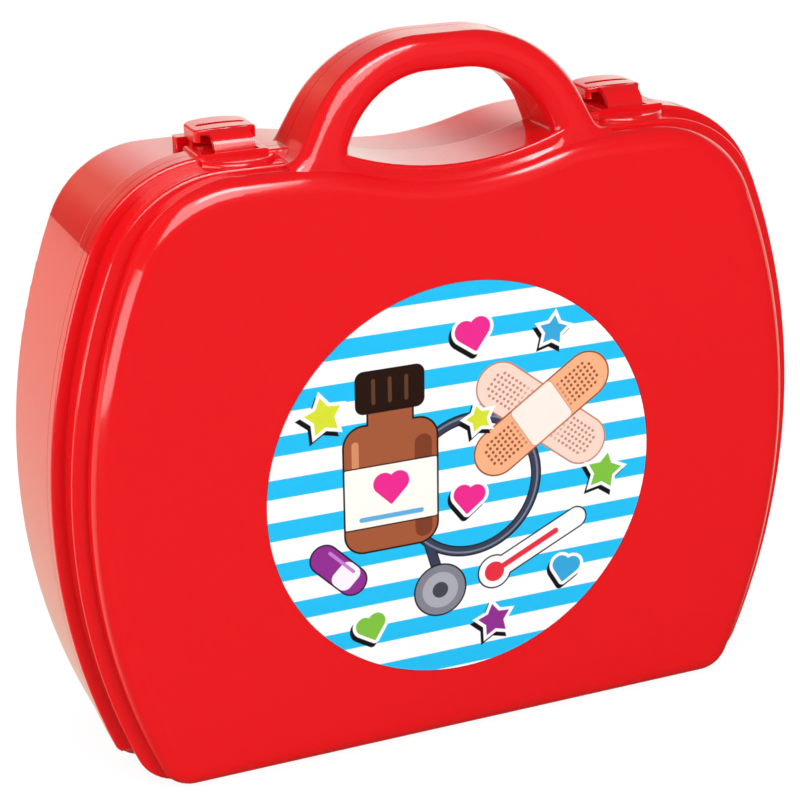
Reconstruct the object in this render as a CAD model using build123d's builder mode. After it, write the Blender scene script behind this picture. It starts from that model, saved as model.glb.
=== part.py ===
"""Toy doctor case: two moulded plastic shells, hinged along the bottom, with a carrying
handle parted down its middle, two snap latches on top and a round printed label.

Millimetres, +Z up. The origin is under the middle of the case on the surface it stands on.
The front faces -Y. Depths named y are counted from the parting plane, positive to the rear.
"""

import os
from math import cos, radians, sin, sqrt, tan

from build123d import *

os.makedirs("parts", exist_ok=True)

# Depths
case_depth = 75.0
front_depth = 24.3
parting_y = front_depth - case_depth / 2
seam_gap = 0.3
wall = 2.4

# Outline seen from the front: bowed sides, round shoulders and a level top with a dip in the middle
panel_half_width = 130.7
widest_height = 99.0
side_radius = 230.0
dip_radius = 115.0
hump_radius = 86.0
corner_radius = 12.0

# The raised front panel, and the two steps outside it: a ledge, and the rim at the seam
panel_dip = 205.5
panel_rise = 8.0
panel_shoulder = 40.0
panel_edge = 7.0
ledge_step = 5.0
ledge_depth = 15.3
ledge_lift = 1.7
ledge_dip = panel_dip + ledge_lift
ledge_shoulder = 42.0
rim_step = 9.4
rim_depth = 5.6
rim_lift = 3.5
rim_dip = panel_dip + rim_lift
rim_rise = 8.5
rim_shoulder = 44.0
rim_foot = 10.0
rim_foot_round = 3.5
step_edge = 1.2

# Rear shell: a deep tray that stands just inside its own rim
rear_step = 8.6
rear_rim_depth = 6.9
rear_drop = 1.0
rear_dip = panel_dip - rear_drop
rear_rise = 7.8
rear_shoulder = 36.0
rear_corner = 10.0
rear_edge = 4.5

# Handle, cut in two by the parting plane: a level grip, round bends and legs that lean outwards.
# Its heights are counted from the dip in the rim that it stands on.
handle_rise = 42.4
handle_top = rim_dip + handle_rise
grip_half = 8.0
handle_bend = 45.0
handle_lean = 62.0
handle_leg_lift = 9.5
handle_leg_foot = rim_dip + handle_leg_lift
handle_flare_x = 58.3
handle_flare_lift = 6.0
handle_flare_foot = rim_dip + handle_flare_lift
grip_height = 12.1
hole_top = handle_top - grip_height
hole_half = 6.0
hole_bend = 32.0
hole_lean = 66.0
hole_foot_corner = 4.0
handle_front_depth = 20.3
handle_rear_depth = 14.0
handle_draft = 8.0
handle_foot_lift = 3.0
handle_foot = rim_dip + handle_foot_lift
handle_edge = 5.4
handle_root_drop = 9.0
handle_root = rim_dip - handle_root_drop
sill_half = 41.0
sill_depth = 19.4
sill_lift = 0.25
sill_cover = 1.5

# Hinge along the bottom, in a channel under both shells
hinge_height = 3.6
channel_half = 8.0
channel_height = 7.2
knuckle_radius = 3.2
knuckle_gap = 0.6
knuckle_length = 11.6
knuckle_web_drop = 2.0
hinge_offset = 60.0
pin_radius = 1.5
pin_running = 0.05

# Catches, a little above the rim and just outside the handle. The latches and what holds them
# are set out from their tops.
catch_rise = 0.9
pedestal_height = rim_dip + rim_rise + catch_rise
pedestal_drop = 7.4
pedestal_root = pedestal_height - pedestal_drop
latch_spacing = 12.9
latch_offset = handle_flare_x + latch_spacing
pedestal_spacing = 1.9
pedestal_inner = handle_flare_x + pedestal_spacing
pedestal_reach = 13.8
pedestal_outer = latch_offset + pedestal_reach
pedestal_rear_y = 8.0
pedestal_edge = 1.0

# Latches: a hooked cap that swings on a pin between two ears on the rear shell
latch_half_width = 10.6
latch_axis_y = 17.5
latch_axis_lift = 0.9
latch_axis_z = pedestal_height + latch_axis_lift
latch_lift = 6.2
latch_top = pedestal_height + latch_lift
latch_crown = 1.0
latch_back_y = 19.1
latch_front_y = 2.6
latch_front_bow = 2.8
latch_back_round = 3.0
latch_front_round = 1.8
latch_edge = 0.8
latch_side_lift = 1.4
latch_side_foot = pedestal_height + latch_side_lift
latch_ceiling_lift = 3.8
latch_ceiling = pedestal_height + latch_ceiling_lift
latch_wall = 1.8
slot_y = 9.6
slot_half = 7.2
slot_bow = 1.0
slot_width = 2.4
tongue_half = 6.8
tongue_thickness = 1.8
tongue_bend = 7.7
tongue_drop = 2.8
tongue_foot = pedestal_height - tongue_drop
barrel_radius = 2.3
barrel_half = 4.5
latch_pin_radius = 0.9

# What the latches work on: ears and a stop on the rear shell, a catch on the front shell
ear_radius = 2.6
ear_heel = 1.6
ear_gap = 0.3
ear_outer = 8.4
ear_root = pedestal_root
stop_half = 11.5
stop_front_y = 23.4
stop_rear_y = 28.0
stop_drop = 0.7
stop_height = pedestal_height - stop_drop
catch_thickness = 1.75
pocket_clearance = 0.6
pad_half = 12.5
pad_side_y = 8.0
pad_front_y = 15.0
pad_drop = 1.7
pad_height = pedestal_height - pad_drop
pad_edge = 1.3

# Label
label_radius = 72.0
label_height = 98.0
label_thickness = 0.3
label_recess = 0.4
label_clearance = 0.3

half_gap = seam_gap / 2
tongue_outer_y = latch_front_y + latch_edge - tongue_bend
pocket_front_y = tongue_outer_y - 1.5 * pocket_clearance
crown_radius = (latch_half_width**2 + latch_crown**2) / (2 * latch_crown)


def across(y):
    """Upright plane that faces the front, y behind the parting plane."""
    return Plane.XZ.offset(-(parting_y + y))


def outline(y, step, dip, rise, shoulder, foot, corner):
    """One level of the case seen from the front, a step outside the raised panel."""
    centre_x = panel_half_width - side_radius
    radius = side_radius + step
    top = dip + rise
    foot_x = centre_x + sqrt(radius**2 - (widest_height - foot) ** 2)
    top_x = centre_x + sqrt(radius**2 - (top - widest_height) ** 2)
    # The dip's hollow arc runs on into the two humps beside it
    both_radii = dip_radius + hump_radius
    level_x = sqrt(both_radii**2 - (both_radii - rise) ** 2)
    hump_x = level_x * (dip_radius - step) / both_radii
    hump_z = dip + rise * (dip_radius - step) / both_radii
    with BuildSketch(across(y)) as face:
        with BuildLine():
            Line((-foot_x, foot), (foot_x, foot))
            ThreePointArc((-hump_x, hump_z), (0, dip), (hump_x, hump_z))
            for side in (-1, 1):
                ThreePointArc(
                    (side * foot_x, foot),
                    (side * (centre_x + radius), widest_height),
                    (side * top_x, top),
                )
                level_top = Line((side * top_x, top), (side * level_x, top))
                TangentArc((side * level_x, top), (side * hump_x, hump_z), tangent=level_top % 1)
        make_face()
        fillet(face.vertices().group_by(Axis.Y)[0], corner)
        shoulders = face.vertices().group_by(Axis.Y)[-1].sort_by(Axis.X)
        fillet([shoulders[0], shoulders[-1]], shoulder)
    return face.sketch


def leg_x(top, half, bend, lean, height):
    """Distance of an arch's leaning leg from the middle, at a height."""
    bend_x = half + bend * sin(radians(lean))
    bend_z = top - bend * (1 - cos(radians(lean)))
    return bend_x + (bend_z - height) / tan(radians(lean))


def handle_profile(y, inset, hole_dip):
    """The handle's arch round its finger hole, shrunk by inset all round."""
    leg_foot_x = leg_x(handle_top, grip_half, handle_bend, handle_lean, handle_leg_foot)
    hole_foot_x = leg_x(hole_top, hole_half, hole_bend, hole_lean, handle_root)
    with BuildSketch(across(y)) as bail:
        with BuildLine():
            Line((-grip_half, handle_top), (grip_half, handle_top))
            for side in (-1, 1):
                flare_foot = (side * handle_flare_x, handle_flare_foot)
                bend = CenterArc(
                    (side * grip_half, handle_top - handle_bend), handle_bend, 90, -side * handle_lean
                )
                leg = Line(bend @ 1, (side * leg_foot_x, handle_leg_foot))
                TangentArc(leg @ 1, flare_foot, tangent=leg % 1)
                Line(flare_foot, (side * handle_flare_x, handle_root))
            Line((-handle_flare_x, handle_root), (handle_flare_x, handle_root))
        make_face()
        if inset:
            offset(amount=-inset, kind=Kind.INTERSECTION)
        with BuildSketch(mode=Mode.PRIVATE) as hole:
            with BuildLine():
                Line((-hole_half, hole_top), (hole_half, hole_top))
                for side in (-1, 1):
                    bend = CenterArc((side * hole_half, hole_top - hole_bend), hole_bend, 90, -side * hole_lean)
                    Line(bend @ 1, (side * hole_foot_x, handle_root))
                Line((-hole_foot_x, handle_root), (hole_foot_x, handle_root))
            make_face()
            with Locations((0, hole_dip + dip_radius)):
                Circle(dip_radius, mode=Mode.INTERSECT)
            fillet(hole.vertices().group_by(Axis.Y)[0], hole_foot_corner)
            if inset:
                offset(amount=inset, kind=Kind.ARC)
        add(hole.sketch, mode=Mode.SUBTRACT)
    return bail.sketch


def level(front_y, rear_y, step, dip, rise, shoulder, foot, corner, front_edge=0.0, rear_edge=0.0):
    """One moulded level between two depths, with its front or rear edge rounded."""
    face = outline(rear_y, step, dip, rise, shoulder, foot, corner)
    with BuildPart() as form:
        extrude(face, amount=rear_y - front_y)
        if front_edge:
            fillet(form.faces().sort_by(Axis.Y)[0].edges(), front_edge)
        if rear_edge:
            fillet(form.faces().sort_by(Axis.Y)[-1].edges(), rear_edge)
    return form.part


def handle_half(near_y, far_y, inset, hole_dip):
    """The handle from the parting plane to its front or rear, solid, with its far edges rounded."""
    outward = 1 if far_y > near_y else -1
    slope = outward * tan(radians(handle_draft))
    root_y = far_y + slope * (handle_foot - handle_root)
    top_y = far_y - slope * (handle_top - handle_foot)
    face = handle_profile(max(near_y, root_y), inset, hole_dip)
    with BuildPart() as form:
        extrude(face, amount=abs(root_y - near_y))
        with BuildSketch(Plane.YZ):
            with BuildLine():
                Polyline(
                    (parting_y + near_y, handle_root),
                    (parting_y + root_y, handle_root),
                    (parting_y + top_y, handle_top),
                    (parting_y + near_y, handle_top),
                    close=True,
                )
            make_face()
        extrude(amount=handle_flare_x, both=True, mode=Mode.INTERSECT)
        far_face = form.faces().sort_by(Axis.Y)[-1 if outward > 0 else 0]
        far_edges = far_face.edges().filter_by_position(Axis.Z, handle_foot, handle_top)
        fillet(far_edges, handle_edge - inset)
    return form.part


def sill(inset, rear_y):
    """The floor of the finger hole, carried forward to the front of the handle."""
    radius = dip_radius - rim_step - sill_lift + inset
    dip = rim_dip + sill_lift - inset
    end_z = dip + radius - sqrt(radius**2 - sill_half**2)
    with BuildPart() as block:
        with BuildSketch(across(rear_y)):
            with BuildLine():
                ThreePointArc((-sill_half, end_z), (0, dip), (sill_half, end_z))
                Polyline(
                    (sill_half, end_z),
                    (sill_half, handle_root),
                    (-sill_half, handle_root),
                    (-sill_half, end_z),
                )
            make_face()
        extrude(amount=rear_y + sill_depth - inset)
        if not inset:
            fillet(block.faces().sort_by(Axis.Y)[0].edges().filter_by(GeomType.CIRCLE), step_edge)
    return block.part


def front_levels(inset, rear_y):
    """The front shell's panel, ledge and rim, and its half of the handle."""
    edge = 0 if inset else step_edge
    return [
        level(-front_depth + inset, rear_y, -inset, panel_dip - inset, panel_rise,
              panel_shoulder - inset, inset, corner_radius - inset, front_edge=panel_edge - inset),
        level(-ledge_depth + inset, rear_y, ledge_step - inset, ledge_dip - inset, panel_rise,
              ledge_shoulder - inset, inset, corner_radius + ledge_step - inset, front_edge=edge),
        level(-rim_depth + inset, rear_y, rim_step - inset, rim_dip - inset, rim_rise,
              rim_shoulder - inset, rim_foot + inset, rim_foot_round, front_edge=edge),
        handle_half(rear_y, -handle_front_depth + inset, inset, rim_dip - sill_cover),
        sill(inset, rear_y),
    ]


def rear_levels(inset, front_y):
    """The rear shell's tray and rim, and its half of the handle."""
    edge = 0 if inset else step_edge
    return [
        level(front_y, case_depth - front_depth - inset, rear_step - inset, rear_dip - inset,
              rear_rise, rear_shoulder - inset, inset, rear_corner - inset,
              rear_edge=rear_edge - inset),
        level(front_y, rear_rim_depth - inset, rim_step - inset, rim_dip - inset, rim_rise,
              rim_shoulder - inset, rim_foot + inset, rim_foot_round, rear_edge=edge),
        handle_half(front_y, handle_rear_depth - inset, inset, rear_dip - sill_cover),
    ]


def channel_block(inset):
    """The hinge channel under both shells, or with a wall round it."""
    with BuildPart() as block:
        with BuildSketch(Plane.YZ):
            with Locations((parting_y, 0)):
                Rectangle(
                    2 * (channel_half + inset),
                    2 * (channel_height + inset),
                )
        extrude(amount=2 * panel_half_width, both=True)
    return block.part


def knuckles(side, x_ranges):
    """Hinge knuckles on one side of the parting plane (side -1 front, 1 rear)."""
    with BuildPart() as row:
        for x_low, x_high in x_ranges:
            with BuildSketch(Plane.YZ.offset(x_low)):
                with Locations((parting_y, hinge_height)):
                    Circle(knuckle_radius)
                with BuildLine():
                    web_y = parting_y + side * (channel_half + wall / 2)
                    Polyline(
                        (parting_y, hinge_height - knuckle_web_drop),
                        (web_y, hinge_height - knuckle_web_drop),
                        (web_y, channel_height + wall / 2),
                        (parting_y + side * knuckle_radius, channel_height + wall / 2),
                        (parting_y + side * knuckle_radius, hinge_height),
                        (parting_y, hinge_height),
                        close=True,
                    )
                make_face()
            extrude(amount=x_high - x_low)
    return row.part


def hinge_cylinder(x_low, length, radius):
    """A round bar on the hinge's axis."""
    with BuildPart() as bar:
        with BuildSketch(Plane.YZ.offset(x_low)):
            with Locations((parting_y, hinge_height)):
                Circle(radius)
        extrude(amount=length)
    return bar.part


pitch = knuckle_length + knuckle_gap
pin_length = 3 * knuckle_length + 2 * knuckle_gap
hinge_starts = [side * hinge_offset - pin_length / 2 for side in (-1, 1)]
rear_knuckle_x = []
front_knuckle_x = []
for start in hinge_starts:
    rear_knuckle_x.append((start, start + knuckle_length))
    front_knuckle_x.append((start + pitch, start + pitch + knuckle_length))
    rear_knuckle_x.append((start + 2 * pitch, start + 2 * pitch + knuckle_length))


def catch_tier(front_y, rear_y):
    """Raised stretch of the rim that a latch closes over, on both sides of the case."""
    with BuildPart() as tier:
        middle = (pedestal_inner + pedestal_outer) / 2
        with BuildSketch(across(rear_y)):
            with Locations(*[(side * middle, pedestal_height) for side in (-1, 1)]):
                Rectangle(
                    pedestal_outer - pedestal_inner,
                    pedestal_height - pedestal_root,
                    align=(Align.CENTER, Align.MAX),
                )
        extrude(amount=rear_y - front_y)
        top_edges = tier.faces().filter_by(Axis.Z).group_by(Axis.Z)[-1].edges()
        fillet(top_edges.filter_by(Axis.Y), pedestal_edge)
    return tier.part


def catch_pads():
    """Half-round pads in front of the catches, and the pockets that the tongues dip into."""
    with BuildPart() as pads:
        for side in (-1, 1):
            middle = side * latch_offset
            with BuildSketch(Plane.XY.offset(pedestal_root)):
                with BuildLine():
                    Polyline(
                        (middle - pad_half, parting_y - pad_side_y),
                        (middle - pad_half, parting_y - half_gap),
                        (middle + pad_half, parting_y - half_gap),
                        (middle + pad_half, parting_y - pad_side_y),
                    )
                    ThreePointArc(
                        (middle - pad_half, parting_y - pad_side_y),
                        (middle, parting_y - pad_front_y),
                        (middle + pad_half, parting_y - pad_side_y),
                    )
                make_face()
            extrude(amount=pad_height - pedestal_root)
        top_edges = pads.faces().sort_by(Axis.Z)[-2:].edges()
        fillet(top_edges, pad_edge)
    return pads.part


def pocket_cut():
    """Space cut behind each pad's edge for the latch's tongue."""
    with BuildPart() as pockets:
        with BuildSketch(Plane.XY.offset(tongue_foot - pocket_clearance)):
            middle_y = parting_y + (pocket_front_y - half_gap - catch_thickness) / 2
            with Locations((-latch_offset, middle_y), (latch_offset, middle_y)):
                Rectangle(
                    2 * (tongue_half + 2 * pocket_clearance),
                    -half_gap - catch_thickness - pocket_front_y,
                )
        extrude(amount=pedestal_height)
    return pockets.part


def latch_ears():
    """Ears that hold the latch pins, and the stop just behind an opened latch."""
    ear_inner = barrel_half + ear_gap
    with BuildPart() as ears:
        for side in (-1, 1):
            for x_low in (side * latch_offset - ear_outer, side * latch_offset + ear_inner):
                with BuildSketch(Plane.YZ.offset(x_low)):
                    with Locations((parting_y + latch_axis_y, latch_axis_z)):
                        Circle(ear_radius)
                    with Locations((parting_y + latch_axis_y + ear_heel, latch_axis_z)):
                        Rectangle(
                            ear_radius + ear_heel,
                            latch_axis_z - ear_root,
                            align=(Align.MAX, Align.MAX),
                        )
                extrude(amount=ear_outer - ear_inner)
            with BuildSketch(Plane.XY.offset(ear_root)):
                with Locations((side * latch_offset, parting_y + (stop_front_y + stop_rear_y) / 2)):
                    RectangleRounded(2 * stop_half, stop_rear_y - stop_front_y, pedestal_edge)
            extrude(amount=stop_height - ear_root)
    return ears.part


def latch_bar(middle, half_length, radius):
    """A round bar on a latch's axis."""
    with BuildPart() as bar:
        with BuildSketch(Plane.YZ.offset(middle - half_length)):
            with Locations((parting_y + latch_axis_y, latch_axis_z)):
                Circle(radius)
        extrude(amount=2 * half_length)
    return bar.part


# Front shell
front_outside = front_levels(0, -half_gap)
front_inside = front_levels(wall, half_gap)
channel = channel_block(0)
channel_cover = channel_block(wall)
front_hinge_knuckles = knuckles(-1, front_knuckle_x)
front_pads = catch_pads()
front_tier = catch_tier(-rim_depth, -half_gap)
tongue_pockets = pocket_cut()
front_bores = [
    hinge_cylinder(x_low, x_high - x_low, pin_radius + pin_running) for x_low, x_high in front_knuckle_x
]
with BuildPart() as front_cavity:
    for piece in front_inside:
        add(piece)
    add(channel_cover, mode=Mode.SUBTRACT)

with BuildPart() as front_shell:
    for piece in front_outside:
        add(piece)
    add(front_cavity.part, mode=Mode.SUBTRACT)
    add(channel, mode=Mode.SUBTRACT)
    add(front_tier)
    add(front_pads)
    add(tongue_pockets, mode=Mode.SUBTRACT)
    add(front_hinge_knuckles)
    for bore in front_bores:
        add(bore, mode=Mode.SUBTRACT)
    with BuildSketch(across(-front_depth)):
        with Locations((0, label_height)):
            Circle(label_radius + label_clearance)
    extrude(amount=-label_recess, mode=Mode.SUBTRACT)
front_shell.part.label = "front_shell"
export_step(front_shell.part, "parts/front_shell.step")

# Rear shell
rear_outside = rear_levels(0, half_gap)
rear_inside = rear_levels(wall, -half_gap)
rear_hinge_knuckles = knuckles(1, rear_knuckle_x)
rear_tier = catch_tier(half_gap, pedestal_rear_y)
ears_and_stops = latch_ears()
rear_bores = [hinge_cylinder(x_low, x_high - x_low, pin_radius) for x_low, x_high in rear_knuckle_x]
ear_bores = [latch_bar(side * latch_offset, ear_outer, latch_pin_radius) for side in (-1, 1)]
with BuildPart() as rear_cavity:
    for piece in rear_inside:
        add(piece)
    add(channel_cover, mode=Mode.SUBTRACT)

with BuildPart() as rear_shell:
    for piece in rear_outside:
        add(piece)
    add(rear_cavity.part, mode=Mode.SUBTRACT)
    add(channel, mode=Mode.SUBTRACT)
    add(rear_tier)
    add(ears_and_stops)
    add(rear_hinge_knuckles)
    for bore in rear_bores + ear_bores:
        add(bore, mode=Mode.SUBTRACT)
rear_shell.part.label = "rear_shell"
export_step(rear_shell.part, "parts/rear_shell.step")

# Hinge pins
for side, start in zip(("left", "right"), hinge_starts):
    with BuildPart() as hinge_pin:
        with BuildSketch(Plane.YZ.offset(start)):
            with Locations((parting_y, hinge_height)):
                Circle(pin_radius)
        extrude(amount=pin_length)
        chamfer(hinge_pin.edges(), pin_radius / 5)
    hinge_pin.part.label = f"hinge_pin_{side}"
    export_step(hinge_pin.part, f"parts/hinge_pin_{side}.step")

# Latches and their pins
for side, name in ((-1, "left"), (1, "right")):
    middle = side * latch_offset
    low_x = middle - latch_half_width
    high_x = middle + latch_half_width
    back_y = parting_y + latch_back_y
    corner_y = parting_y + latch_front_y + latch_front_bow
    bore = latch_bar(middle, latch_half_width, latch_pin_radius + pin_running)
    with BuildPart() as latch:
        with BuildSketch(Plane.XY.offset(latch_side_foot)) as plan:
            with BuildLine():
                Polyline((low_x, corner_y), (low_x, back_y), (high_x, back_y), (high_x, corner_y))
                ThreePointArc((low_x, corner_y), (middle, parting_y + latch_front_y), (high_x, corner_y))
            make_face()
            fillet(plan.vertices().group_by(Axis.Y)[0], latch_front_round)
            fillet(plan.vertices().group_by(Axis.Y)[-1], latch_back_round)
        extrude(amount=latch_top - latch_side_foot)
        with BuildSketch(across(latch_back_y + latch_edge)):
            with Locations((middle, latch_top - crown_radius)):
                Circle(crown_radius)
        extrude(amount=latch_back_y - latch_front_y + 2 * latch_edge, mode=Mode.INTERSECT)
        fillet(latch.faces().sort_by(Axis.Z)[-1].edges(), latch_edge)
        # Hollow underneath, open to the rear and cut away either side of the tongue
        with BuildSketch(Plane.XY.offset(latch_side_foot)):
            with Locations((middle, parting_y + latch_back_y)):
                Rectangle(
                    2 * (latch_half_width - latch_wall),
                    latch_back_y - latch_front_y + latch_wall,
                    align=(Align.CENTER, Align.MAX),
                )
        extrude(amount=latch_ceiling - latch_side_foot, mode=Mode.SUBTRACT)
        # Curved slot through the top
        with BuildSketch(Plane.XY.offset(latch_ceiling)):
            finger_slot = ThreePointArc(
                (middle - slot_half, parting_y + slot_y + slot_bow),
                (middle, parting_y + slot_y),
                (middle + slot_half, parting_y + slot_y + slot_bow),
            )
            SlotArc(finger_slot, slot_width)
        extrude(amount=latch_top - latch_ceiling, mode=Mode.SUBTRACT)
        # Tongue that bends down in front of the catch
        bend_y = parting_y + tongue_outer_y + tongue_bend
        bend_z = latch_top - latch_edge / 2 - tongue_bend
        inner_bend = tongue_bend - tongue_thickness
        with BuildSketch(Plane.YZ.offset(middle - tongue_half)):
            with BuildLine():
                RadiusArc((bend_y, bend_z + tongue_bend), (bend_y - tongue_bend, bend_z), -tongue_bend)
                Polyline(
                    (bend_y - tongue_bend, bend_z),
                    (bend_y - tongue_bend, tongue_foot),
                    (bend_y - inner_bend, tongue_foot),
                    (bend_y - inner_bend, bend_z),
                )
                RadiusArc((bend_y - inner_bend, bend_z), (bend_y, bend_z + inner_bend), inner_bend)
                Line((bend_y, bend_z + inner_bend), (bend_y, bend_z + tongue_bend))
            make_face()
        extrude(amount=2 * tongue_half)
        # Hinge barrel under the rear of the cap
        with BuildSketch(Plane.YZ.offset(middle - barrel_half)):
            with Locations((parting_y + latch_axis_y, latch_axis_z)):
                Circle(barrel_radius)
                Rectangle(
                    2 * barrel_radius,
                    latch_ceiling - latch_axis_z,
                    align=(Align.CENTER, Align.MIN),
                )
        extrude(amount=2 * barrel_half)
        add(bore, mode=Mode.SUBTRACT)
    latch.part.label = f"latch_{name}"
    export_step(latch.part, f"parts/latch_{name}.step")

    with BuildPart() as latch_pin:
        with BuildSketch(Plane.YZ.offset(middle - ear_outer)):
            with Locations((parting_y + latch_axis_y, latch_axis_z)):
                Circle(latch_pin_radius)
        extrude(amount=2 * ear_outer)
    latch_pin.part.label = f"latch_pin_{name}"
    export_step(latch_pin.part, f"parts/latch_pin_{name}.step")

# Round printed label in its recess
with BuildPart() as front_label:
    with BuildSketch(across(label_recess - front_depth)):
        with Locations((0, label_height)):
            Circle(label_radius)
    extrude(amount=label_thickness)
front_label.part.label = "front_label"
export_step(front_label.part, "parts/front_label.step")
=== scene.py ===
"""Toy doctor case: glossy moulded shells, snap latches, steel pins and a printed round label, on a pale studio stage."""

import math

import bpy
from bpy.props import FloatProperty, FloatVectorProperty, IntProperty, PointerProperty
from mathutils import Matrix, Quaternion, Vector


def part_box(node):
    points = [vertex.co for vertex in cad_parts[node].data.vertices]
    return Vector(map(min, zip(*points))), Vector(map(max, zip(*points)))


bl_info = {
    "name": "Toy Doctor Case",
    "version": (1, 0, 0),
    "blender": (4, 5, 0),
    "location": "3D View > Sidebar > Doctor Case",
    "description": "Finishes a moulded toy doctor case, prints its label and lights it on a plain stage",
    "category": "Object",
}

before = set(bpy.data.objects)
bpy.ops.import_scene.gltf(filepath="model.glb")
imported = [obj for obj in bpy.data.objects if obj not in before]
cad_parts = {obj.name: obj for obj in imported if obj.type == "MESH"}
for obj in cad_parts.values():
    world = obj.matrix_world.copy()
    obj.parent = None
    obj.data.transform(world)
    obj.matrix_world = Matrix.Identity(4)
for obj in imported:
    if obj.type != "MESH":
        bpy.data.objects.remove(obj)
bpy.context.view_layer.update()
MM = 0.001


# ---------------------------------------------------------------- shader helpers


class Wire:
    """A shader socket that Python's operators work on: each operator adds its Math node."""

    def __init__(self, shader, socket):
        self.shader = shader
        self.socket = socket

    def math(self, operation, *others, clamp=False):
        settings = {"operation": operation, "use_clamp": clamp}
        return self.shader.node("ShaderNodeMath", settings, self, *others)

    def __add__(self, other):
        return self.math("ADD", other)

    def __sub__(self, other):
        return self.math("SUBTRACT", other)

    def __mul__(self, other):
        return self.math("MULTIPLY", other)

    def __truediv__(self, other):
        return self.math("DIVIDE", other)

    def __rsub__(self, other):
        return self.shader.node("ShaderNodeMath", {"operation": "SUBTRACT"}, other, self)

    __radd__ = __add__
    __rmul__ = __mul__

    def __neg__(self):
        return self * -1

    def __abs__(self):
        return self.math("ABSOLUTE")

    def least(self, other):
        return self.math("MINIMUM", other)

    def most(self, other):
        return self.math("MAXIMUM", other)


class Shader:
    """The node tree of a material or a world, filled through one method."""

    def __init__(self, owner):
        owner.use_nodes = True
        self.tree = owner.node_tree
        self.tree.nodes.clear()

    def node(self, kind, settings=None, *values, out=0, **named):
        """Adds a node: its settings first, then its sockets by order or by name. Returns one output."""
        made = self.tree.nodes.new(kind)
        for name, value in (settings or {}).items():
            if name == "stops":
                self.fill_ramp(made.color_ramp, value)
            else:
                setattr(made, name, value)
        for index, value in enumerate(values):
            self.feed(made.inputs[index], value)
        for name, value in named.items():
            self.feed(made.inputs[name.replace("_", " ")], value)
        return Wire(self, made.outputs[out]) if made.outputs else None

    def feed(self, socket, value):
        if value is None:
            return
        if isinstance(value, Wire):
            self.tree.links.new(value.socket, socket)
        else:
            socket.default_value = value

    @staticmethod
    def fill_ramp(ramp, stops):
        for place, colour in stops[len(ramp.elements):]:
            ramp.elements.new(place)
        for element, (place, colour) in zip(ramp.elements, stops):
            element.position = place
            element.color = colour

    def mix(self, share, first, second):
        """A colour between two colours."""
        made = self.tree.nodes.new("ShaderNodeMix")
        made.data_type = "RGBA"
        self.feed(made.inputs[0], share)
        self.feed(made.inputs[6], first)
        self.feed(made.inputs[7], second)
        return Wire(self, made.outputs[2])

    def place(self):
        """Object coordinates, in metres, as one vector."""
        return self.node("ShaderNodeTexCoord", out=3)

    def noise(self, where, scale, detail=2.0, roughness=0.5):
        return self.node("ShaderNodeTexNoise", None, Vector=where, Scale=scale, Detail=detail,
                         Roughness=roughness)

    def vector(self, operation, *values):
        """A Vector Math node: its number output for a distance or length, else its vector."""
        out = 1 if operation in ("DISTANCE", "LENGTH") else 0
        return self.node("ShaderNodeVectorMath", {"operation": operation}, *values, out=out)


def ink(red, green, blue):
    """A printing ink given in display values up to 255, as a linear colour."""
    return tuple((value / 255) ** 2.2 for value in (red, green, blue)) + (1,)


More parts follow.
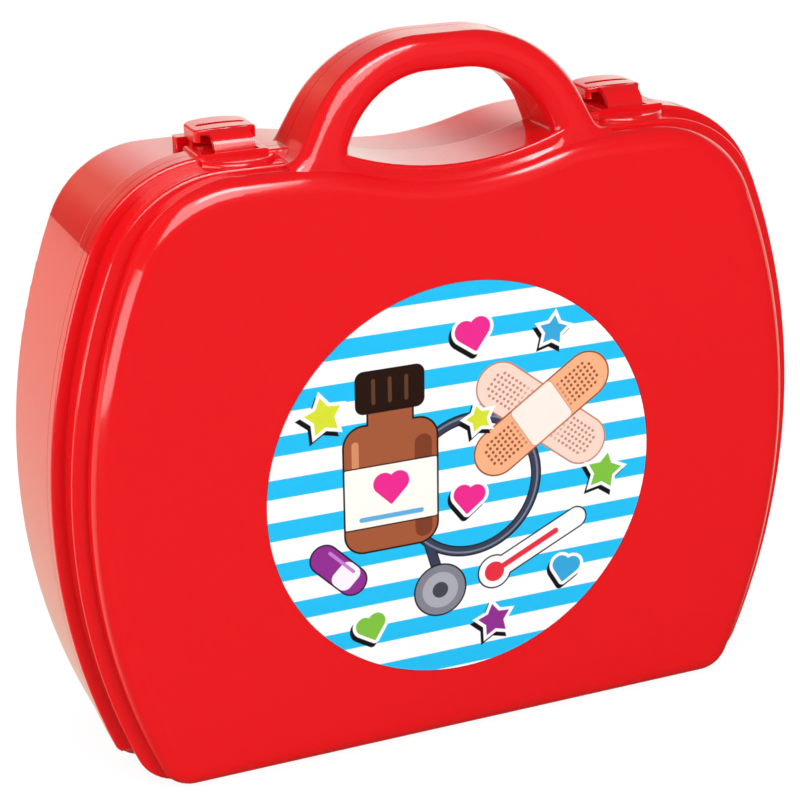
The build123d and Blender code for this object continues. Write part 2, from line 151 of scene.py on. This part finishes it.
class Print:
    """Flat inks laid one over another on the label. Places and lengths are millimetres from its middle,
    and each shape is a distance: below zero inside it."""

    def __init__(self, shader, height):
        self.shader = shader
        self.where = shader.vector("MULTIPLY_ADD", shader.place(), (1000, 0, 1000), (0, 0, -1000 * height))
        self.colour = ink(252, 253, 254)

    def lay(self, shape, colour, grow=0.0, softness=0.22):
        share = (shape * (-1 / softness)).math("ADD", 0.5 + grow / softness, clamp=True)
        self.colour = self.shader.mix(share, self.colour, colour)

    def local(self, at, turn=0.0):
        moved = self.shader.vector("SUBTRACT", self.where, (at[0], 0, at[1]))
        if not turn:
            return moved
        return self.shader.node("ShaderNodeVectorRotate", {"rotation_type": "Y_AXIS"}, Vector=moved,
                                Angle=math.radians(turn))

    def disc(self, at, radius):
        return self.shader.vector("DISTANCE", self.where, (at[0], 0, at[1])) - radius

    def ring(self, at, radius, half_width):
        return abs(self.disc(at, radius)) - half_width

    def plate(self, at, half_width, half_height, turn=0.0, corner=0.0):
        """A rectangle, or with a corner radius a rounded one."""
        half = (half_width - corner, 1, half_height - corner)
        beyond = self.shader.vector("SUBTRACT", self.shader.vector("ABSOLUTE", self.local(at, turn)), half)
        return self.shader.vector("LENGTH", self.shader.vector("MAXIMUM", beyond, (0, 0, 0))) - corner

    def bar(self, start, end, radius):
        """A round-ended bar between two points."""
        run = Vector(end) - Vector(start)
        middle = (Vector(end) + Vector(start)) / 2
        return self.plate(middle, run.length / 2 + radius, radius, math.degrees(math.atan2(run.y, run.x)), radius)

    def heart(self, at, size, turn=0.0):
        side = size * 0.6
        lobe = side * math.sqrt(0.5) / 2
        tilt = math.radians(turn)
        shape = self.plate(at, side / 2, side / 2, 45 + turn, side * 0.08)
        for across in (-lobe, lobe):
            x = across * math.cos(tilt) - lobe * math.sin(tilt)
            z = across * math.sin(tilt) + lobe * math.cos(tilt)
            shape = shape.least(self.disc((at[0] + x, at[1] + z), side / 2))
        return shape

    def star(self, at, size, turn=0.0):
        spot = self.local(at, turn)
        x = self.shader.node("ShaderNodeSeparateXYZ", None, spot)
        z = self.shader.node("ShaderNodeSeparateXYZ", None, spot, out=2)
        fold = x.math("ARCTAN2", z).math("PINGPONG", math.pi / 5)
        tip = size / 2
        notch = Vector((tip * 0.56 * math.cos(math.pi / 5), tip * 0.56 * math.sin(math.pi / 5)))
        edge = (notch - Vector((tip, 0))).normalized()
        reach = fold.math("COSINE") * edge.y - fold.math("SINE") * edge.x
        return self.shader.vector("LENGTH", spot) * reach - tip * edge.y

    def stamp(self, shape, at, size, turn, colour):
        """A small motif with a white border and a black drop shadow."""
        self.lay(shape((at[0] - 1.2, at[1] - 1.5), size, turn), ink(25, 24, 28), 1.1)
        motif = shape(at, size, turn)
        self.lay(motif, ink(253, 253, 253), 1.2)
        self.lay(motif, colour)

    def outlined(self, shape, colour, line, width=0.6):
        self.lay(shape, line, width)
        self.lay(shape, colour)


def new_material(name, colour):
    material = bpy.data.materials.new(name)
    material.diffuse_color = (*colour, 1)
    return material, Shader(material)


def dress(node, material):
    """Gives a node of the frame its material, in every slot."""
    for slot in node.material_slots:
        slot.material = material


# ---------------------------------------------------------------- settings


class CasePlastic(bpy.types.PropertyGroup):
    colour: FloatVectorProperty(
        name="Colour", description="Red of the moulded plastic", subtype="COLOR",
        default=(0.84, 0.0045, 0.0085), min=0, max=1)
    shade: FloatVectorProperty(
        name="Shade", description="Slightly deeper red where the pigment flowed unevenly",
        subtype="COLOR", default=(0.79, 0.0035, 0.0070), min=0, max=1)
    roughness: FloatProperty(
        name="Roughness", description="Roughness of the polished moulding", default=0.17, min=0, max=1)
    gloss: FloatProperty(
        name="Gloss", description="Weight of the glossy moulding skin", default=1.0, min=0, max=1)


class CaseStage(bpy.types.PropertyGroup):
    floor_size: FloatProperty(
        name="Floor", description="Width of the floor", default=9.0, unit="LENGTH")
    lens: FloatProperty(
        name="Lens", description="Focal length on a 36 mm sensor, in millimetres", default=95.57)
    camera_place: FloatVectorProperty(
        name="Camera", description="Camera position", subtype="TRANSLATION",
        default=(-0.2813, -0.6529, 0.3855))
    camera_target: FloatVectorProperty(
        name="Target", description="Point that the camera looks at", subtype="TRANSLATION",
        default=(-0.0130, -0.0127, 0.1214))
    camera_roll: FloatProperty(
        name="Roll", description="Turn of the camera about its own line of sight", subtype="ANGLE",
        default=math.radians(-0.804))


# ---------------------------------------------------------------- materials


def red_plastic(plastic):
    """Polished injection-moulded plastic: slow pigment flow, faint ripple in the gloss."""
    material, shader = new_material("red_moulded_plastic", plastic.colour)
    where = shader.place()
    flow = shader.noise(where, 9.0, 3.0)
    ripple = shader.noise(where, 55.0, 2.0)
    grain = shader.noise(where, 900.0, 2.0)
    colour = shader.mix(flow * 0.7, (*plastic.colour, 1), (*plastic.shade, 1))
    roughness = grain * 0.06 + (plastic.roughness - 0.03)
    bump = shader.node("ShaderNodeBump", None, Strength=0.25, Distance=0.0002,
                       Height=ripple + grain * 0.02)
    skin = shader.node("ShaderNodeBsdfPrincipled", None, Base_Color=colour, Roughness=roughness,
                       IOR=1.5, Normal=bump, Coat_Weight=plastic.gloss, Coat_Roughness=0.08)
    shader.node("ShaderNodeOutputMaterial", None, skin)
    return material


def steel(name):
    """Drawn steel wire: bright, with fine lines along the pin."""
    material, shader = new_material(name, (0.6, 0.6, 0.6))
    where = shader.node("ShaderNodeMapping", None, Vector=shader.place(), Scale=(40, 4000, 4000))
    lines = shader.noise(where, 1.0, 2.0)
    metal = shader.node("ShaderNodeBsdfPrincipled", None, Base_Color=(0.62, 0.61, 0.6, 1),
                        Metallic=1.0, Roughness=lines * 0.2 + 0.22)
    shader.node("ShaderNodeOutputMaterial", None, metal)
    return material


def label_print(height):
    """White film printed with sky-blue stripes, medicine-chest motifs and small coloured shapes."""
    material, shader = new_material("label_print", (0.9, 0.9, 0.9))
    page = Print(shader, height)
    line = ink(38, 26, 24)
    # Stripes
    level = shader.node("ShaderNodeSeparateXYZ", None, page.where, out=2)
    page.lay((level - 8.8).math("PINGPONG", 7.65) - 3.45, ink(0, 190, 245))
    # Stethoscope: its tube loops behind the bottle and the plasters
    tube = page.ring((3, -2), 25, 1.5).least(page.bar((-13, -22), (-9, -36), 1.5))
    page.outlined(tube, ink(58, 66, 88), line, 0.5)
    page.lay(page.ring((3, -2), 25.5, 0.35), ink(120, 130, 150))
    page.outlined(page.disc((-9, -40), 9.5), ink(128, 130, 142), line)
    page.lay(page.disc((-9, -40), 6.8), ink(168, 170, 180))
    page.lay(page.disc((-9, -40), 3.0), ink(70, 72, 84))
    # Brown medicine bottle with a cap and a paper label
    glass, shade = ink(165, 88, 52), ink(128, 62, 36)
    body = page.plate((-27, 3), 17, 23, 0, 7).least(page.plate((-27, 27), 8, 8, 0, 2))
    page.outlined(body, glass, line, 0.7)
    page.lay(page.plate((-15, 1), 3.2, 19, 0, 3), shade)
    page.lay(page.plate((-40, 12), 1.3, 9, 0, 1.3), ink(214, 140, 98))
    page.outlined(page.plate((-27, 38), 12, 7, 0, 2.5), ink(47, 26, 15), line, 0.7)
    for across in (-6, 0, 6):
        page.lay(page.plate((-27 + across, 38), 0.7, 4.6, 0, 0.7), ink(98, 62, 44))
    page.outlined(page.plate((-27, 0), 17, 11, 0, 0.5), ink(252, 248, 240), line, 0.5)
    page.lay(page.heart((-27, 1.5), 13), ink(236, 30, 140))
    page.lay(page.plate((-27, -8), 12, 0.9, 0, 0.9), ink(90, 175, 225))
    # Two crossed plasters
    for turn, skin, rim in ((-38, ink(255, 214, 198), ink(196, 130, 110)), (34, ink(250, 176, 130), ink(150, 76, 44))):
        page.outlined(page.plate((30, 20), 29, 8.5, turn, 8.5), skin, rim, 0.6)
        spot = page.local((30, 20), turn)
        dots = [shader.node("ShaderNodeSeparateXYZ", None, spot, out=out).math("PINGPONG", 1.9) - 0.95
                for out in (0, 2)]
        pattern = (dots[0] * dots[0] + dots[1] * dots[1]).math("SQRT") - 0.55
        arms = page.plate((30, 20), 25, 5.6, turn, 5).most(-page.plate((30, 20), 12, 12, turn))
        page.lay(pattern.most(arms), rim)
    page.outlined(page.plate((30, 20), 9, 8.4, 34, 1.5), ink(255, 236, 226), ink(226, 150, 116), 0.4)
    # Thermometer
    page.outlined(page.bar((14, -36), (44, -22), 3.8).least(page.disc((12, -37), 6)), ink(250, 250, 252), line)
    page.lay(page.bar((14, -36), (36, -25.7), 1.1).least(page.disc((12, -37), 3.8)), ink(232, 40, 60))
    # Two-tone capsule
    page.outlined(page.bar((-52, -20), (-42, -30), 5), ink(145, 40, 145), line)
    page.lay(page.plate((-44.3, -27.7), 4.2, 5, -45, 3), ink(250, 240, 250))
    page.lay(page.bar((-50, -18), (-41.5, -26.5), 0.6), ink(200, 120, 205))
    # Small shapes
    page.stamp(page.heart, (4, 52), 13, 10, ink(236, 30, 140))
    page.stamp(page.star, (-51, 32), 14, 10, ink(215, 225, 40))
    page.stamp(page.star, (55, -6), 14, -12, ink(125, 195, 60))
    page.stamp(page.heart, (-35, -50), 11, 14, ink(125, 195, 60))
    page.stamp(page.star, (12, -56), 13, 8, ink(145, 40, 145))
    page.stamp(page.heart, (40, -42), 11, -14, ink(45, 165, 220))
    page.stamp(page.star, (34, 50), 11, -8, ink(45, 165, 220))
    page.stamp(page.star, (6, 22), 10, 14, ink(215, 225, 40))
    page.stamp(page.heart, (2, -8), 12, -8, ink(236, 30, 140))
    grain = shader.noise(shader.place(), 1500.0)
    film = shader.node("ShaderNodeBsdfPrincipled", None, Base_Color=page.colour, IOR=1.45,
                       Roughness=grain * 0.1 + 0.33)
    shader.node("ShaderNodeOutputMaterial", None, film)
    return material


# ---------------------------------------------------------------- operators


class CASE_OT_shells(bpy.types.Operator):
    """Finishes the two shells in glossy red plastic"""

    bl_idname = "case.shells"
    bl_label = "Shells"

    def execute(self, context):
        material = red_plastic(context.scene.case_plastic)
        for name in ("front_shell", "rear_shell", "latch_left", "latch_right"):
            dress(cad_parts[name], material)
        return {"FINISHED"}


class CASE_OT_pins(bpy.types.Operator):
    """Finishes the hinge pins and latch pins in drawn steel"""

    bl_idname = "case.pins"
    bl_label = "Pins"

    def execute(self, context):
        material = steel("drawn_steel")
        for name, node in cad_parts.items():
            if "pin" in name:
                dress(node, material)
        return {"FINISHED"}


class CASE_OT_label(bpy.types.Operator):
    """Prints the round label"""

    bl_idname = "case.label"
    bl_label = "Label"

    def execute(self, context):
        low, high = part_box("front_label")
        dress(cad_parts["front_label"], label_print((low[2] + high[2]) / 2))
        return {"FINISHED"}


def softbox(name, place, target, width, height, power, mirrored=True, lights=True):
    """A rectangular studio lamp that faces a target. It may only light, or only show in the gloss."""
    bpy.ops.object.light_add(type="AREA", location=place)
    lamp = bpy.context.object
    lamp.name = name
    lamp.rotation_mode = "QUATERNION"
    lamp.rotation_quaternion = (Vector(target) - Vector(place)).to_track_quat("-Z", "Y")
    lamp.data.shape = "RECTANGLE"
    lamp.data.size = width
    lamp.data.size_y = height
    lamp.data.energy = power
    lamp.visible_glossy = mirrored
    lamp.visible_diffuse = lights
    return lamp


class CASE_OT_stage(bpy.types.Operator):
    """Adds the floor, the lamps, the white surroundings and the camera"""

    bl_idname = "case.stage"
    bl_label = "Stage"

    def execute(self, context):
        stage = context.scene.case_stage
        context.scene.view_settings.view_transform = "Standard"
        self.add_floor(stage)
        self.add_world(context.scene)
        self.add_lamps()
        self.add_camera(context.scene, stage)
        return {"FINISHED"}

    def add_floor(self, stage):
        bpy.ops.object.select_all(action="DESELECT")
        bpy.ops.mesh.primitive_plane_add(size=stage.floor_size)
        floor = bpy.context.object
        floor.name = "stage_floor"
        material, shader = new_material("pale_floor", (0.9, 0.9, 0.9))
        seen, shadow = (shader.node("ShaderNodeLightPath", out=out) for out in (0, 1))
        glossy = shader.node("ShaderNodeLightPath", out=3)
        # To glossy rays the floor glows with painted light instead: warm, dim in front of the case and brighter behind
        # it
        depth = shader.node("ShaderNodeSeparateXYZ", None, shader.place(), out=1)
        rise = (depth * 20).math("ADD", 0.6, clamp=True)
        matt = shader.node("ShaderNodeBsdfDiffuse", None, Color=(0.9, 0.9, 0.9, 1))
        # Mostly clear to the camera and to the lamps, as the open lid hangs below the floor
        clear = shader.node("ShaderNodeBsdfTransparent")
        shown = shader.node("ShaderNodeMixShader", None, 0.85, matt, clear)
        mirrored = shader.node("ShaderNodeEmission", None, Color=(1, 0.72, 0.58, 1), Strength=rise * 0.72 + 0.06)
        other = shader.node("ShaderNodeMixShader", None, glossy, matt, mirrored)
        final = shader.node("ShaderNodeMixShader", None, seen, other, shown)
        final = shader.node("ShaderNodeMixShader", None, shadow, final, clear)
        shader.node("ShaderNodeOutputMaterial", None, final)
        floor.data.materials.append(material)

    def add_world(self, scene):
        scene.world = bpy.data.worlds.new("studio")
        scene.world.cycles.sampling_method = "NONE"
        shader = Shader(scene.world)
        seen = shader.node("ShaderNodeLightPath", out=0)
        glossy = shader.node("ShaderNodeLightPath", out=3)
        direction = shader.node("ShaderNodeTexCoord", out=0)
        across, depth, height = (shader.node("ShaderNodeSeparateXYZ", None, direction, out=out) for out in range(3))
        # What gloss shows: a pale wall behind, bright to the right and low down
        behind = (depth * 2.5).math("ADD", -0.2, clamp=True)
        low = (height * -6).math("ADD", 2.85, clamp=True)
        middle = (across * 8).math("ADD", 3.0, clamp=True)
        right = (across * 5).math("ADD", 0.8, clamp=True)
        tint = shader.mix(right, (1, 0.82, 0.56, 1), (1, 0.95, 0.89, 1))
        room = shader.node("ShaderNodeBackground", None, Color=(1, 1, 1, 1), Strength=0.5)
        mirrored = shader.node("ShaderNodeBackground", None, Color=tint,
                               Strength=behind * low * (middle * 0.35 + right * 0.6) + 0.06)
        white = shader.node("ShaderNodeBackground", None, Color=(1, 1, 1, 1), Strength=1.08)
        other = shader.node("ShaderNodeMixShader", None, glossy, room, mirrored)
        final = shader.node("ShaderNodeMixShader", None, seen, other, white)
        shader.node("ShaderNodeOutputWorld", None, final)

    def add_lamps(self):
        middle = (0, 0, 0.12)
        softbox("overhead_softbox", (0, -0.6, 1.15), middle, 0.6, 0.3, 3.4)
        softbox("left_softbox", (-1.15, -0.4, 0.2), middle, 1.0, 0.4, 3.0)
        softbox("front_softbox", (0.5, -1.5, 0.6), middle, 0.9, 0.9, 8, mirrored=False)
        softbox("left_fill", (-1.3, 0.5, 0.6), middle, 0.9, 0.9, 4, mirrored=False)
        softbox("top_fill", (-0.6, 0.2, 1.2), middle, 0.8, 0.8, 2.5, mirrored=False)
        softbox("highlight_panel", (-0.14, -0.44, 0.62), (-0.05, -0.03, 0.21), 0.6, 0.55, 3.2, lights=False)

    def add_camera(self, scene, stage):
        place = Vector(stage.camera_place)
        bpy.ops.object.camera_add(location=place)
        camera = bpy.context.object
        camera.name = "stage_camera"
        camera.rotation_mode = "QUATERNION"
        sight = (Vector(stage.camera_target) - place).to_track_quat("-Z", "Y")
        camera.rotation_quaternion = sight @ Quaternion((0, 0, 1), stage.camera_roll)
        camera.data.sensor_width = 36
        camera.data.lens = stage.lens
        scene.camera = camera


class CASE_PT_sidebar(bpy.types.Panel):
    """Lists the case's settings and steps"""

    bl_idname = "CASE_PT_sidebar"
    bl_label = "Doctor Case"
    bl_space_type = "VIEW_3D"
    bl_region_type = "UI"
    bl_category = "Doctor Case"

    def draw(self, context):
        layout = self.layout
        for title, settings in (("Plastic", context.scene.case_plastic), ("Stage", context.scene.case_stage)):
            box = layout.box()
            box.label(text=title)
            for name in settings.__annotations__:
                box.prop(settings, name)
        for step in STEPS:
            layout.operator(step.bl_idname)


STEPS = (CASE_OT_shells, CASE_OT_pins, CASE_OT_label, CASE_OT_stage)
SETTINGS = {"case_plastic": CasePlastic, "case_stage": CaseStage}


def register():
    for kind in (*SETTINGS.values(), *STEPS, CASE_PT_sidebar):
        bpy.utils.register_class(kind)
    for name, kind in SETTINGS.items():
        setattr(bpy.types.Scene, name, PointerProperty(type=kind))


def unregister():
    for name in SETTINGS:
        delattr(bpy.types.Scene, name)
    for kind in reversed((*SETTINGS.values(), *STEPS, CASE_PT_sidebar)):
        bpy.utils.unregister_class(kind)


def main():
    register()
    bpy.ops.case.shells()
    bpy.ops.case.pins()
    bpy.ops.case.label()
    bpy.ops.case.stage()


if __name__ == "__main__":
    main()
